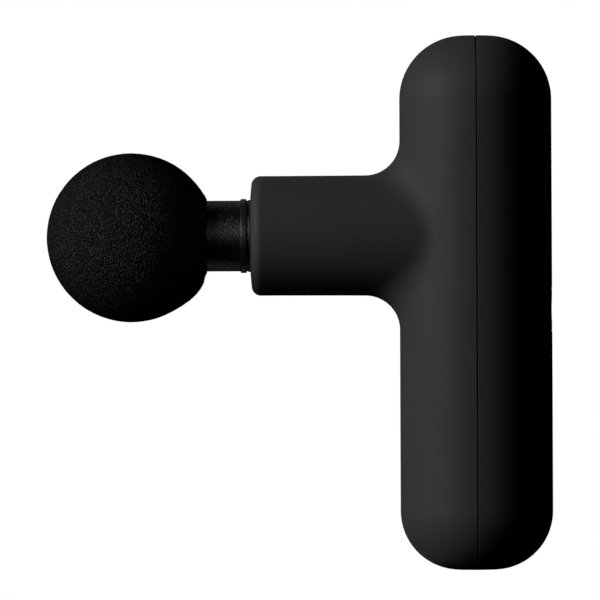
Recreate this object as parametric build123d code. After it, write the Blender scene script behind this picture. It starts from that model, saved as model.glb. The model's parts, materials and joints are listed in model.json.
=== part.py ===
from build123d import *
import os
from math import cos, pi, radians, sin

# Compact massage gun.  Units are millimetres.  +Z runs up the handle, the head points along -X,
# and the origin is the middle of the handle's lower end.

CUT = 1.0                 # a cutter runs this far past what it cuts

# ---------------------------------------------------------------- housing
HANDLE_R = 21.13
HANDLE_TOP_R = 21.06      # the handle narrows by this moulding draft above the grip
GRIP_TOP_Z = 43.5         # the grip is straight up to here
HANDLE_H = 148.0
TOP_ROUND = 17.7          # rounding of the handle's upper end
BOTTOM_ROUND = 16.3       # rounding of its lower end
WALL = 2.2
STROKE_Z = 92.7           # height of the stroke axis, which is also the neck's axis
NECK_FRONT_X = -62.45
NECK_R = 16.57            # at the front of the neck
NECK_ROOT_R = 16.75       # at its root
NECK_MOUTH_R = 11.0       # the front face is flat out to here, then crowned
NECK_CROWN = 0.5
NECK_EDGE_ROUND = 2.6
NECK_BLEND = 9.5          # blend between the neck and the handle
NECK_BORE_R = 14.0
NECK_FRONT_WALL = 1.7
NOSE_HOLE_R = 10.5
SEAM_X = 0.0              # parting plane between the front shell and the rear cover
GROOVE_W = 0.30           # reveal groove along the parting line
GROOVE_DEPTH = 0.3
SEAM_ROUND = 0.15         # rounding of the groove's two outer edges
NOSE_HOLE_ROUND = 0.4
BOSS_SINK = 0.4           # bosses and ribs run this far into the wall, so that they fuse with it
LIP_INSET = 1.15          # the front shell's lip starts this far under the outer surface
LIP_DEPTH = 1.2
LIP_GAP = 0.05
RIB_Z = (28.0, 46.0, 64.0)
RIB_T = 1.2

# ---------------------------------------------------------------- housing screws
BOSS_R = 2.4
BOSSES = (                # y, z and the x of the seat under each screw's head
    (0.0, 141.5, 8.0),
    (-13.0, 83.0, 9.5),
    (13.0, 83.0, 9.5),
    (-9.5, 8.5, 7.5),
    (9.5, 8.5, 7.5),
)
SCREW_R = 1.0
SCREW_HOLE_R = 1.15
SCREW_HEAD_R = 1.9
SCREW_HEAD_H = 1.4
SCREW_REACH = 8.0         # how far a housing screw goes into the front shell's boss
RECESS_R = 2.15
RECESS_ROUND = 0.15       # rounding of each recess's edge, and of the plug in it
SLOT_HALF_W = 0.25        # the cross in a screw's head
SLOT_HALF_L = 1.2
SLOT_DEPTH = 0.7
PLUG_GAP = 0.4            # between a screw's head and the plug over it

# ---------------------------------------------------------------- drive
PISTON_R = 10.0
PISTON_NOSE_X = -63.2
PISTON_REAR_X = -22.0
SOCKET_R = 8.0
SOCKET_DEPTH = 22.2
FIT = 0.05                # radial clearance of a running fit
STROKE = 8.0
CRANK_R = STROKE / 2
ROD_LENGTH = 32.0
WRIST_X = CRANK_R - ROD_LENGTH
WRIST_R = 2.0
ROD_T = 5.8
SMALL_EYE_R = 5.0
SMALL_BUSH_R = 3.0
BIG_EYE_R = 8.6
BEARING_OUT_R = 6.0
CRANK_PIN_R = 3.0
BUSH_OUT_R = 11.6
BUSH_FRONT_X = -57.5
BUSH_REAR_X = -36.0
GUIDE_TUBE_R = 12.9
GUIDE_TUBE_FRONT_X = -58.6
CHAMBER_IN_R = 16.2
CHAMBER_OUT_R = 17.9
CHAMBER_LOW_Z = 87.2
CHAMBER_TOP_Z = 107.0
CHAMBER_BACK_IN_X = 14.2
CHAMBER_BACK_OUT_X = 15.4
FLANGE_IN_R = 13.4
FLANGE_T = 1.8
WHEEL_R = 12.5
WHEEL_LOW_Z = 100.0
WHEEL_T = 3.4
HUB_R = 4.6
HUB_TOP_Z = 106.3
PIN_GAP = 0.3             # the crank pin stops this far below its seat in the wheel
PIN_SEAT_DEPTH = 2.8
PIN_HEAD_R = 3.9
PIN_HEAD_LOW_Z = 88.9
PIN_HEAD_T = 0.8
BIG_BEARING_T = 4.0
BEARING_RIM = 0.267       # width of each race's face, as a share of the bearing's ring
BEARING_GROOVE = 0.2      # depth of the shields below the races
SEAL_GAP = 0.07           # between the wiper seal and the piston
SEAL_T = 2.0
SEAL_SET_BACK = 0.4       # of the seal's lip behind the neck's front face
GREASE_GROOVE_X = (-52.0, -41.5)
GREASE_GROOVE_HALF_W = 0.8
GREASE_GROOVE_DEPTH = 0.6
GUIDE_TUBE_REAR_X = -14.0
GUIDE_BORE_REAR_X = -12.0
LID_T = 1.2
LID_SPIGOT_H = 0.9
LID_TUBE_X = (-30.0, -14.4)      # the lid is cut away here for the guide tube
LID_TUBE_R = 13.6
NECK_DAMPER_X = (-56.0, -29.0)
NECK_DAMPER_W = 3.0
CHAMBER_DAMPER_Z = (96.0, 101.0)
CHAMBER_DAMPER_HALF_L = 9.0
CHAMBER_DAMPER_Y = (12.0, 28.0)
SLOT_CLEARANCE = 0.5      # round the rod, in the piston's slot
WRIST_PIN_HALF_L = 8.5
PISTON_CHAMFER = 0.2
PIN_CHAMFER = 0.3         # on the ends of the wrist pin and the shaft
SHANK_HALF_W = (3.6, 6.0)        # the rod's shank at its small and big ends
POCKET_X = (-21.0, -8.0)
POCKET_HALF_W = (1.9, 3.0)
POCKET_DEPTH = 1.6
WHEEL_CHAMFER = 0.4
SHAFT_SINK = 0.2          # the shaft's end goes this far into the wheel's disc
WEIGHT_PCR = 8.6          # radius of the counterweight screws' circle
WEIGHT_SCREW_ANGLES = (145.0, 215.0)
WEIGHT_ARC = (100.0, 260.0)
WEIGHT_EDGE = 0.4         # the counterweight's set-back from the wheel's rim and hub
WEIGHT_TOP_Z = HUB_TOP_Z - 0.1
WEIGHT_SEAT = 1.2         # depth of its screw seats
WEIGHT_HEAD_H = 1.1       # its screws' heads are this thick, so they sit just below its top
WEIGHT_SLOT_DEPTH = 0.5
WEIGHT_SCREW_LOW_Z = WHEEL_LOW_Z + 1.2

# ---------------------------------------------------------------- motor
PLATE_R = 17.6
PLATE_T = 2.0
PLATE_SCREW_PCR = 14.9    # radius of the motor screws' circle
PLATE_SCREW_ANGLES = (60.0, 180.0, 300.0)
MOTOR_BASE_Z = CHAMBER_TOP_Z + PLATE_T
MOTOR_TOP_Z = 137.2
CAN_R = 16.5
CAN_WALL = 0.8
SHAFT_R = 2.5
MOTOR_BEARING_R = 5.5
MOTOR_BEARING_T = 4.0
LOWER_BEARING_Z = 107.2
UPPER_BEARING_Z = 132.5
STATOR_LOW_Z = 114.0
STATOR_TOP_Z = 128.0
TEETH = 9
SHOE_IN_R = 9.2
MAGNET_R = 8.7
ROTOR_CORE_R = 6.0
POLES = 8
LEAD_R = 0.6
SHAFT_HOLE_R = 3.7        # in the motor plate, round the shaft
SHAFT_SET_BACK = 0.4      # the shaft ends this far below the upper bearing's face
BEARING_HOUSE_R = 7.5
MOTOR_SCREW_HEAD_R = 1.25
MOTOR_SCREW_HEAD_H = 1.1
END_CAP_T = 1.5
VENTS = 6
VENT_PCR = 11.6
VENT_R = 1.8
LEAD_WINDOW_Z = (MOTOR_BASE_Z + 2.4, MOTOR_BASE_Z + 4.6)
LEAD_WINDOW_HALF_W = 3.6
GROMMET_X = (CAN_R - 1.6, 18.1)
GROMMET_HALF_W = 3.5
YOKE_IN_R = 13.2
SHOE_OUT_R = 10.2
SHOE_HALF_ANGLE = 15.0
TOOTH_X = (9.8, 13.6)
TOOTH_HALF_W = 1.5
COIL_X = (10.3, 12.7)
COIL_HALF_W = 2.9
COIL_OVERHANG = 1.4       # of each coil past the core's ends
COIL_ROUND = 1.3
MAGNET_GAP_ANGLE = 3.0    # between neighbouring magnets
LEAD_Y = (-2.2, 0.0, 2.2)
LEAD_X = (17.2, 12.4)     # the leads come down at the first, and end at the second
LEAD_TURN_Z = 85.0
LEAD_END_Z = 80.0
LEAD_BEND_R = 1.6

# ---------------------------------------------------------------- battery and boards
CELL_R = 9.1
CELL_Y = 9.25
CELL_LOW_Z = 13.5
CELL_LENGTH = 65.0
CELL_TOP_Z = CELL_LOW_Z + CELL_LENGTH
STRIP_T = 0.2
CELL_ROUND = 0.5
CRIMP_DROP = 3.0          # from the cell's upper end to its crimp
CRIMP_HALF_W = 0.5
CRIMP_DEPTH = 0.35
CELL_ROOM = 0.2           # round each cell in its holders
HOLDER_HALF_W = 17.0      # the holders' sides are cut flat here, so the cells show through
HOLDER_GAP = 0.3          # between the holders and the housing
HOLDER_FRONT_X = -14.0
LOWER_HOLDER_BACK_X = 12.4
LOWER_HOLDER_Z = (11.0, 17.0)
UPPER_HOLDER_BACK_X = 7.5
UPPER_HOLDER_Z = (75.5, 80.3)
BRIDGE_HALF_W = 2.5
BRIDGE_HALF_L = 13.0
BRIDGE_SLOT_HALF_W = 3.0
BRIDGE_SLOT_HALF_L = 13.2
TERMINAL_X = (-3.0, 8.4)
TERMINAL_Y = (4.0, 9.0)
BATTERY_LEAD_BEND_R = 1.2
BOARD_X = 14.2            # face of the control board towards the cells
BOARD_T = 1.2
BOARD_HALF_W = 9.6
BOARD_LOW_Z = 22.0
BOARD_TOP_Z = 84.0
BOARD_SCREWS = ((-7.0, 26.0), (7.0, 26.0), (-7.0, 80.0), (7.0, 80.0))
BOARD_BACK_X = BOARD_X + BOARD_T
BOARD_ROUND = 1.5
BOARD_HOLE_R = 1.0
BOARD_HEAD_R = 1.6
BOARD_HEAD_H = 1.0
BOARD_SHANK_END_X = 17.2
BOARD_SLOT_HALF_L = 1.1
BOARD_SLOT_HALF_W = 0.2
BOARD_SLOT_DEPTH = 0.4
CHIP_T = 1.0
CHIP_CHAMFER = 0.2
CONTROLLER_W = 7.0
CONTROLLER_Z = 40.0
TRANSISTOR_W = 3.3
TRANSISTOR_Y = (-5.0, 0.0, 5.0)
TRANSISTOR_Z = (50.0, 55.5)
CAPACITOR_R = 2.1
CAPACITOR_L = 7.0
CAPACITOR_Z = (28.0, 33.2)
CAPACITOR_ROUND = 0.4
CONNECTOR_T = 3.7
CONNECTOR_CHAMFER = 0.3
MOTOR_CONNECTOR_HALF_W = 3.8
MOTOR_CONNECTOR_Z = (75.6, 80.0)
BATTERY_CONNECTOR_HALF_W = 3.4
BATTERY_CONNECTOR_Z = (58.6, 62.0)
BOARD_POST_R = 2.0
BOARD_SCREW_R = 0.85
BOARD_SCREW_END_X = 17.4

# ---------------------------------------------------------------- button and indicators
BUTTON_Z = 72.0
BUTTON_R = 6.0
BUTTON_GAP = 0.3
BUTTON_HOLE_ROUND = 0.25
BUTTON_RIM_ROUND = 0.4
BUTTON_DISH_R = 22.0      # radius of the dish in the button's face
BUTTON_DISH_DEPTH = 0.35
BUTTON_LOW_X = 16.6       # inner end of the button's wall
BUTTON_FLANGE_R = 7.0
BUTTON_FLANGE_X = (16.2, 17.1)
BUTTON_WEB_X = 19.3       # the button is hollow up to here
BUTTON_BORE_R = 4.6
BUTTON_POST_R = 1.5
SWITCH_SIZE = 6.0
SWITCH_TOP_X = 17.6
PLUNGER_R = 1.7
PLUNGER_TOP_X = 18.6
LED_Z = (60.0, 55.0, 50.0, 45.0)
WINDOW_R = 0.95
WINDOW_ROUND = 0.12
LED_T = 0.6
LED_HALF_W = 0.8
LED_HALF_H = 0.4
GUIDE_X = (16.3, 17.2)
GUIDE_HALF_W = 1.5
GUIDE_END = 2.0           # the light guide's bar runs this far past its end pins
SWITCH_CHAMFER = 0.4
SWITCH_POCKET_DEPTH = 1.1
PLUNGER_GAP = 0.15
PLUNGER_SINK = 0.5        # the plunger starts this far inside the switch
PLUNGER_CHAMFER = 0.2

# ---------------------------------------------------------------- charging port
PORT_HALF_W = 4.47
PORT_HALF_T = 1.58
PORT_LOW_Z = 0.7
PORT_TOP_Z = 8.0
PORT_SHEET = 0.3
TONGUE_HALF_W = 3.35
TONGUE_HALF_T = 0.35
TONGUE_SET_BACK = 1.3     # the tongue starts this far inside the socket's mouth
COLLAR_HALF_W = 5.4
COLLAR_HALF_T = 2.5
COLLAR_FLANGE_W = 0.8
COLLAR_FLANGE_T = 0.7
COLLAR_OPENING_TOP_Z = WALL + 0.4
SOCKET_BACK_T = 1.0       # closed inner end of the socket's shell
TONGUE_BASE_T = 1.2
CHARGE_BOARD_T = 1.0
CHARGE_BOARD_HALF_W = 6.3
CHARGE_BOARD_Z = (3.1, 10.3)
CHARGE_LEAD_Y = (-1.6, 1.6)
CHARGE_LEAD_BEND_R = 2.4

# ---------------------------------------------------------------- head
BALL_R = 23.45
BALL_X = -95.6
BALL_CORE_R = 14.5
STEM_R = 9.8
SPIGOT_R = 6.0
SPIGOT_END_X = BALL_X + BALL_CORE_R + 2.0
STEM_START_X = BALL_X + BALL_CORE_R + 0.5
CORE_FLAT_X = BALL_X + BALL_CORE_R - 0.6     # the core is cut flat here, under the stem
PLUG_CHAMFER = 1.0
RING_ROUND = 0.3
RING_SPLIT_HALF_W = 0.2
RING_SPLIT_Y = (-12.0, -8.0)
RING_R = 10.27
RING_FRONT_X = -65.2
RING_REAR_X = -63.5
RING_SPLIT_Z = STROKE_Z - 3.9
PLUG_R = 7.93
PLUG_END_X = -42.4
ORING_X = (-59.0, -47.0)
ORING_R = 7.97
ORING_T = 1.6
ORING_ROUND = 0.64


# ================================================================ helpers
def x_cylinder(radius, x_from, x_to, y=0.0, z=STROKE_Z):
    """Cylinder along X between two stations."""
    return Pos((x_from + x_to) / 2, y, z) * Rot(0, 90, 0) * Cylinder(radius, x_to - x_from)


def x_tube(outer, inner, x_from, x_to, y=0.0, z=STROKE_Z):
    """Tube along X between two stations."""
    return x_cylinder(outer, x_from, x_to, y, z) - x_cylinder(inner, x_from - CUT, x_to + CUT, y, z)


def z_cylinder(radius, z_from, z_to, x=0.0, y=0.0):
    """Cylinder along Z between two heights."""
    return Pos(x, y, (z_from + z_to) / 2) * Cylinder(radius, z_to - z_from)


def z_tube(outer, inner, z_from, z_to, x=0.0, y=0.0):
    """Tube along Z between two heights."""
    return z_cylinder(outer, z_from, z_to, x, y) - z_cylinder(inner, z_from - CUT, z_to + CUT, x, y)


def block(x_from, x_to, y_from, y_to, z_from, z_to):
    """Box between two corners."""
    centre = ((x_from + x_to) / 2, (y_from + y_to) / 2, (z_from + z_to) / 2)
    return Pos(*centre) * Box(x_to - x_from, y_to - y_from, z_to - z_from)


def x_slab(x_from, x_to):
    """Everything between two planes across X."""
    return block(x_from, x_to, -60, 60, -20, 180)


def z_slab(z_from, z_to):
    """Everything between two planes across Z."""
    return block(-140, 60, -60, 60, z_from, z_to)


def z_oval(half_width, half_thickness, z_from, z_to):
    """Stadium-shaped bar along Z, wide in Y and thin in X."""
    flat = half_width - half_thickness
    bar = block(-half_thickness, half_thickness, -flat, flat, z_from, z_to)
    ends = [z_cylinder(half_thickness, z_from, z_to, 0, side * flat) for side in (-1, 1)]
    return bar + ends[0] + ends[1]


def wire(points, bend_r, radius=LEAD_R):
    """Round lead along straight runs joined by arcs."""
    path = FilletPolyline(*points, radius=bend_r)
    start = Plane(origin=path @ 0, z_dir=path % 0)
    return sweep(start * Circle(radius), path=path)


def group(*solids):
    """Several separate solids kept in one node."""
    return Compound(children=list(solids))


def sector(radius, z_from, z_to, angle_from, angle_to):
    """Pie-shaped slice about the motor's axis, used to cut rings into arcs."""
    steps = [angle_from + (angle_to - angle_from) * step / 4 for step in range(5)]
    rim = [(radius * cos(radians(a)), radius * sin(radians(a))) for a in steps]
    face = make_face(Polyline((0, 0), *rim, close=True))
    return Pos(0, 0, z_from) * extrude(face, z_to - z_from)


# ================================================================ housing
def handle_solid(inset=0.0):
    """The handle's round-ended bar, drawn in by inset on every side."""
    low_corner = Vector(HANDLE_R - inset, 0, inset)
    top_corner = Vector(HANDLE_TOP_R - inset, 0, HANDLE_H - inset)
    outline = Polyline(
        Vector(0, 0, inset),
        low_corner,
        Vector(HANDLE_R - inset, 0, GRIP_TOP_Z),
        top_corner,
        Vector(0, 0, HANDLE_H - inset),
        close=True,
    )
    face = make_face(outline)
    face = fillet(face.vertices().sort_by_distance(low_corner)[0], BOTTOM_ROUND - inset)
    face = fillet(face.vertices().sort_by_distance(top_corner)[0], TOP_ROUND - inset)
    return revolve(face, Axis.Z)


def neck_solid():
    """The neck's outer shape, crowned at its mouth and slightly wider at its root."""
    shoulder = (NECK_FRONT_X + NECK_CROWN, NECK_R)
    outline = Polyline(
        (NECK_FRONT_X, 0),
        (NECK_FRONT_X, NECK_MOUTH_R),
        shoulder,
        (-10, NECK_ROOT_R),
        (-10, 0),
        close=True,
    )
    face = make_face(outline)
    corner = face.vertices().sort_by_distance(Vector(*shoulder, 0))[0]
    face = fillet(corner, NECK_EDGE_ROUND)
    return Pos(0, 0, STROKE_Z) * revolve(face, Axis.X)


def housing_outer():
    """The whole outer shape: handle and neck, blended."""
    handle = handle_solid()
    neck = neck_solid()
    joined = handle + neck
    seam = new_edges(handle, neck, combined=joined)
    return fillet(seam, NECK_BLEND)


def housing_cavity():
    """The hollow inside both shells and the neck."""
    neck_bore = x_cylinder(NECK_BORE_R, NECK_FRONT_X + NECK_FRONT_WALL, -5)
    return handle_solid(WALL) + neck_bore


def lip(gap=0.0):
    """The tongue on the front shell's edge, or with a gap the slot that takes it."""
    ring = handle_solid(LIP_INSET - gap) - handle_solid(WALL + gap)
    return ring & x_slab(SEAM_X, SEAM_X + LIP_DEPTH + gap)


def skin_edges(piece, x_from, x_to):
    """Edges of a piece that lie in the handle's outer surface, between two planes across X."""
    core = handle_solid(0.05)
    found = []
    for edge in piece.edges():
        points = [edge @ along for along in (0.0, 0.3, 0.6, 0.9)]
        if all(x_from <= point.X <= x_to and not core.is_inside(point) for point in points):
            found.append(edge)
    return found


def round_seam(shell, x):
    """Rounds the edge of a shell where the parting groove at x meets the outer surface."""
    return fillet(skin_edges(shell, x - 0.01, x + 0.01), SEAM_ROUND)


def round_openings(cover):
    """Rounds the outer edge of the cover's button hole, windows and screw recesses."""
    sizes = (
        (BUTTON_R + BUTTON_GAP, BUTTON_HOLE_ROUND),
        (RECESS_R, RECESS_ROUND),
        (WINDOW_R, WINDOW_ROUND),
    )
    for hole_r, rounding in sizes:
        closed = [edge for edge in skin_edges(cover, 1, 60) if edge.is_closed]
        rims = [edge for edge in closed if 0.95 < edge.length / (2 * pi * hole_r) < 1.25]
        cover = fillet(rims, rounding)
    return cover


def parting_groove():
    """Reveal groove that runs round the parting line."""
    return x_slab(SEAM_X - GROOVE_W / 2, SEAM_X + GROOVE_W / 2) - handle_solid(GROOVE_DEPTH)


def bosses(x_from, x_to):
    """Screw bosses between two stations, trimmed to the inside of the housing."""
    posts = [x_cylinder(BOSS_R, x_from, x_to, y, z) for y, z, _ in BOSSES]
    inside = handle_solid(WALL - BOSS_SINK)
    return [post & inside for post in posts]


def cell_ribs():
    """Ribs in the front shell that cradle the cells."""
    cradle = handle_solid(WALL - BOSS_SINK) & x_slab(-HANDLE_R, SEAM_X)
    ribs = []
    for z in RIB_Z:
        rib = cradle & z_slab(z - RIB_T / 2, z + RIB_T / 2)
        for side in (-1, 1):
            rib -= z_cylinder(CELL_R + FIT, z - RIB_T, z + RIB_T, 0, side * CELL_Y)
        ribs.extend(rib.solids())
    return ribs


def front_shell(outer, cavity):
    """Front half of the handle with the neck, in one moulding."""
    shell = (outer - cavity) & x_slab(-120, SEAM_X)
    shell -= x_cylinder(NOSE_HOLE_R, NECK_FRONT_X - CUT, NECK_FRONT_X + NECK_FRONT_WALL + CUT)
    shell += lip()
    for post in bosses(-HANDLE_R, SEAM_X):
        shell += post
    for y, z, _ in BOSSES:
        shell -= x_cylinder(SCREW_R, SEAM_X - SCREW_REACH, SEAM_X + CUT, y, z)
    for rib in cell_ribs():
        shell += rib
    shell -= parting_groove()
    shell -= collar_opening()
    mouth = [e for e in shell.edges().filter_by(GeomType.CIRCLE) if abs(e.center().X - NECK_FRONT_X) < 0.01]
    shell = fillet(ShapeList(mouth).sort_by(SortBy.LENGTH)[0], NOSE_HOLE_ROUND)
    return round_seam(shell, SEAM_X - GROOVE_W / 2)


def rear_cover(outer, cavity):
    """Rear half of the handle, with the openings for the screws, button and indicators."""
    cover = (outer - cavity) & x_slab(SEAM_X, 60)
    cover -= lip(LIP_GAP)
    for post in bosses(SEAM_X + LIP_DEPTH + 2 * LIP_GAP, HANDLE_R):
        cover += post
    for y, z, seat_x in BOSSES:
        cover -= x_cylinder(SCREW_HOLE_R, SEAM_X - CUT, seat_x + CUT, y, z)
        cover -= x_cylinder(RECESS_R, seat_x, HANDLE_R + CUT, y, z)
    for y, z in BOARD_SCREWS:
        cover += x_cylinder(BOARD_POST_R, BOARD_BACK_X, HANDLE_R, y, z) & handle_solid(WALL - BOSS_SINK)
        cover -= x_cylinder(BOARD_SCREW_R, BOARD_BACK_X - CUT, BOARD_SCREW_END_X, y, z)
    cover -= x_cylinder(BUTTON_R + BUTTON_GAP, BOARD_BACK_X, HANDLE_R + CUT, 0, BUTTON_Z)
    for z in LED_Z:
        cover -= x_cylinder(WINDOW_R, BOARD_BACK_X, HANDLE_R + CUT, 0, z)
    cover -= parting_groove()
    cover = round_openings(cover - collar_opening())
    return round_seam(cover, SEAM_X + GROOVE_W / 2)


def housing_screws():
    """Self-tapping screws that hold the rear cover on."""
    screws = []
    for y, z, seat_x in BOSSES:
        shank = x_cylinder(SCREW_R, SEAM_X - SCREW_REACH, seat_x, y, z)
        head = x_cylinder(SCREW_HEAD_R, seat_x, seat_x + SCREW_HEAD_H, y, z)
        top_x = seat_x + SCREW_HEAD_H
        floor_x = top_x - SLOT_DEPTH
        screw = shank + head
        for half_y, half_z in ((SLOT_HALF_W, SLOT_HALF_L), (SLOT_HALF_L, SLOT_HALF_W)):
            screw -= block(floor_x, top_x + CUT, y - half_y, y + half_y, z - half_z, z + half_z)
        screws.append(screw)
    return group(*screws)


def screw_plugs():
    """Rubber plugs that fill the screw recesses flush with the rear cover."""
    skin = handle_solid()
    plugs = []
    for y, z, seat_x in BOSSES:
        start = seat_x + SCREW_HEAD_H + PLUG_GAP
        plug = (x_cylinder(RECESS_R, start, HANDLE_R + CUT, y, z) & skin).solids()[0]
        plugs.append(fillet(skin_edges(plug, start + 0.1, HANDLE_R + CUT), RECESS_ROUND))
    return group(*plugs)


# ================================================================ neck and drive
def neck_seal():
    """Wiper ring behind the neck's mouth, with a lip that fills the gap round the piston."""
    wall_x = NECK_FRONT_X + NECK_FRONT_WALL
    ring = x_tube(NECK_BORE_R - FIT, PISTON_R + SEAL_GAP, wall_x, wall_x + SEAL_T)
    mouth_lip = x_tube(NOSE_HOLE_R, PISTON_R + SEAL_GAP, NECK_FRONT_X + SEAL_SET_BACK, wall_x)
    return ring + mouth_lip


def guide_bush():
    """Plain bush that the piston slides in, with two grease grooves."""
    bush = x_tube(BUSH_OUT_R, PISTON_R + FIT, BUSH_FRONT_X, BUSH_REAR_X)
    for x in GREASE_GROOVE_X:
        start, end = x - GREASE_GROOVE_HALF_W, x + GREASE_GROOVE_HALF_W
        bush -= x_tube(PISTON_R + GREASE_GROOVE_DEPTH, PISTON_R - CUT, start, end)
    return bush


def chamber_shape(radius, back_x, z_from, z_to):
    """Round chamber with a flat back."""
    return z_cylinder(radius, z_from, z_to) & x_slab(-60, back_x)


def drive_frame():
    """Cast frame: crank chamber, top flange for the motor, and guide tube in the neck."""
    chamber = chamber_shape(CHAMBER_OUT_R, CHAMBER_BACK_OUT_X, CHAMBER_LOW_Z, CHAMBER_TOP_Z)
    tube = x_cylinder(GUIDE_TUBE_R, GUIDE_TUBE_FRONT_X, GUIDE_TUBE_REAR_X)
    frame = chamber + tube
    flange_z = CHAMBER_TOP_Z - FLANGE_T
    frame -= chamber_shape(CHAMBER_IN_R, CHAMBER_BACK_IN_X, CHAMBER_LOW_Z - 20, flange_z)
    frame -= z_cylinder(FLANGE_IN_R, flange_z - CUT, CHAMBER_TOP_Z + CUT)
    frame -= x_cylinder(BUSH_OUT_R, GUIDE_TUBE_FRONT_X - CUT, GUIDE_BORE_REAR_X)
    frame -= z_cylinder(CHAMBER_OUT_R + FIT, 70, CHAMBER_LOW_Z)
    for angle in PLATE_SCREW_ANGLES:
        x, y = polar(PLATE_SCREW_PCR, angle)
        frame -= z_cylinder(SCREW_R + FIT, flange_z - CUT, CHAMBER_TOP_Z + CUT, x, y)
    return frame


def polar(radius, angle):
    """Point on a circle about the motor's axis."""
    return radius * cos(radians(angle)), radius * sin(radians(angle))


def crankcase_lid():
    """Lid that closes the crank chamber from below."""
    low_z = CHAMBER_LOW_Z - LID_T
    top_z = CHAMBER_LOW_Z + LID_SPIGOT_H
    plate = chamber_shape(CHAMBER_OUT_R, CHAMBER_BACK_OUT_X, low_z, CHAMBER_LOW_Z)
    spigot = chamber_shape(CHAMBER_IN_R - FIT, CHAMBER_BACK_IN_X - FIT, CHAMBER_LOW_Z, top_z)
    return plate + (spigot - x_cylinder(LID_TUBE_R, *LID_TUBE_X))


def neck_dampers():
    """Rubber rings between the guide tube and the neck."""
    return group(*[x_tube(NECK_BORE_R - FIT, GUIDE_TUBE_R, x, x + NECK_DAMPER_W) for x in NECK_DAMPER_X])


def chamber_dampers():
    """Rubber pads between the crank chamber's sides and the housing."""
    band = z_tube(HANDLE_R - WALL - FIT, CHAMBER_OUT_R, *CHAMBER_DAMPER_Z)
    half_l = CHAMBER_DAMPER_HALF_L
    pads = []
    for side in (-1, 1):
        near, far = sorted(side * y for y in CHAMBER_DAMPER_Y)
        pads.append(band & block(-half_l, half_l, near, far, *CHAMBER_DAMPER_Z))
    return group(*pads)


def piston():
    """Output sleeve: a socket for the head in front and a slot for the rod behind."""
    body = x_cylinder(PISTON_R, PISTON_NOSE_X, PISTON_REAR_X)
    rims = body.edges().filter_by(GeomType.CIRCLE)
    body = chamfer(rims, PISTON_CHAMFER)
    body -= x_cylinder(SOCKET_R, PISTON_NOSE_X - CUT, PISTON_NOSE_X + SOCKET_DEPTH)
    half_slot = ROD_T / 2 + SLOT_CLEARANCE
    slot_x = WRIST_X - SMALL_EYE_R - SLOT_CLEARANCE
    reach = PISTON_R + CUT
    body -= block(slot_x, PISTON_REAR_X + CUT, -reach, reach, STROKE_Z - half_slot, STROKE_Z + half_slot)
    return body - z_cylinder(WRIST_R, STROKE_Z - reach, STROKE_Z + reach, WRIST_X)


def wrist_pin():
    """Pin across the piston's slot."""
    pin = z_cylinder(WRIST_R, STROKE_Z - WRIST_PIN_HALF_L, STROKE_Z + WRIST_PIN_HALF_L, WRIST_X)
    return chamfer(pin.edges().filter_by(GeomType.CIRCLE), PIN_CHAMFER)


def tapered_bar(ends_x, half_widths, z_from, z_to):
    """Flat bar along X that widens from one end to the other."""
    (start, end), (start_w, end_w) = ends_x, half_widths
    face = make_face(Polyline((start, -start_w), (end, -end_w), (end, end_w), (start, start_w), close=True))
    return Pos(0, 0, z_from) * extrude(face, z_to - z_from)


def connecting_rod():
    """Rod between the wrist pin and the crank pin, with a pocket in each face."""
    low, high = STROKE_Z - ROD_T / 2, STROKE_Z + ROD_T / 2
    rod = z_cylinder(BIG_EYE_R, low, high, CRANK_R) + z_cylinder(SMALL_EYE_R, low, high, WRIST_X)
    rod += tapered_bar((WRIST_X, CRANK_R), SHANK_HALF_W, low, high)
    for floor_z, top_z in ((low, low + POCKET_DEPTH), (high - POCKET_DEPTH, high)):
        rod -= tapered_bar(POCKET_X, POCKET_HALF_W, floor_z, top_z)
    rod -= z_cylinder(BEARING_OUT_R, low - CUT, high + CUT, CRANK_R)
    return rod - z_cylinder(SMALL_BUSH_R, low - CUT, high + CUT, WRIST_X)


def small_end_bush():
    """Bronze bush in the rod's small eye, turning on the wrist pin."""
    return z_tube(SMALL_BUSH_R, WRIST_R + FIT, STROKE_Z - ROD_T / 2, STROKE_Z + ROD_T / 2, WRIST_X)


def ball_bearing(outer, inner, z_from, z_to, x=0.0):
    """Shielded ball bearing as one ring, with a shallow groove in each face."""
    ring = z_tube(outer, inner, z_from, z_to, x)
    rim = (outer - inner) * BEARING_RIM
    for z in (z_from, z_to):
        ring -= z_tube(outer - rim, inner + rim, z - BEARING_GROOVE, z + BEARING_GROOVE, x)
    return ring


def crank_pin():
    """Pin in the big-end bearing.  It stops short of its seat in the crank wheel."""
    pin = z_cylinder(CRANK_PIN_R, PIN_HEAD_LOW_Z, WHEEL_LOW_Z - PIN_GAP, CRANK_R)
    return pin + z_cylinder(PIN_HEAD_R, PIN_HEAD_LOW_Z, PIN_HEAD_LOW_Z + PIN_HEAD_T, CRANK_R)


def crank_wheel():
    """Wheel on the motor's shaft, with the crank pin's seat in its lower face."""
    wheel = z_cylinder(WHEEL_R, WHEEL_LOW_Z, WHEEL_LOW_Z + WHEEL_T)
    wheel = chamfer(wheel.edges().filter_by(GeomType.CIRCLE), WHEEL_CHAMFER)
    wheel += z_cylinder(HUB_R, WHEEL_LOW_Z + WHEEL_T, HUB_TOP_Z)
    wheel -= z_cylinder(SHAFT_R, WHEEL_LOW_Z + WHEEL_T - SHAFT_SINK, HUB_TOP_Z + CUT)
    wheel -= z_cylinder(CRANK_PIN_R + FIT, WHEEL_LOW_Z - CUT, WHEEL_LOW_Z + PIN_SEAT_DEPTH, CRANK_R)
    for x, y in counterweight_points():
        wheel -= z_cylinder(SCREW_R, WEIGHT_SCREW_LOW_Z, WHEEL_LOW_Z + WHEEL_T + CUT, x, y)
    return wheel


def counterweight_points():
    """Where the counterweight's screws are."""
    return [polar(WEIGHT_PCR, angle) for angle in WEIGHT_SCREW_ANGLES]


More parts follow.
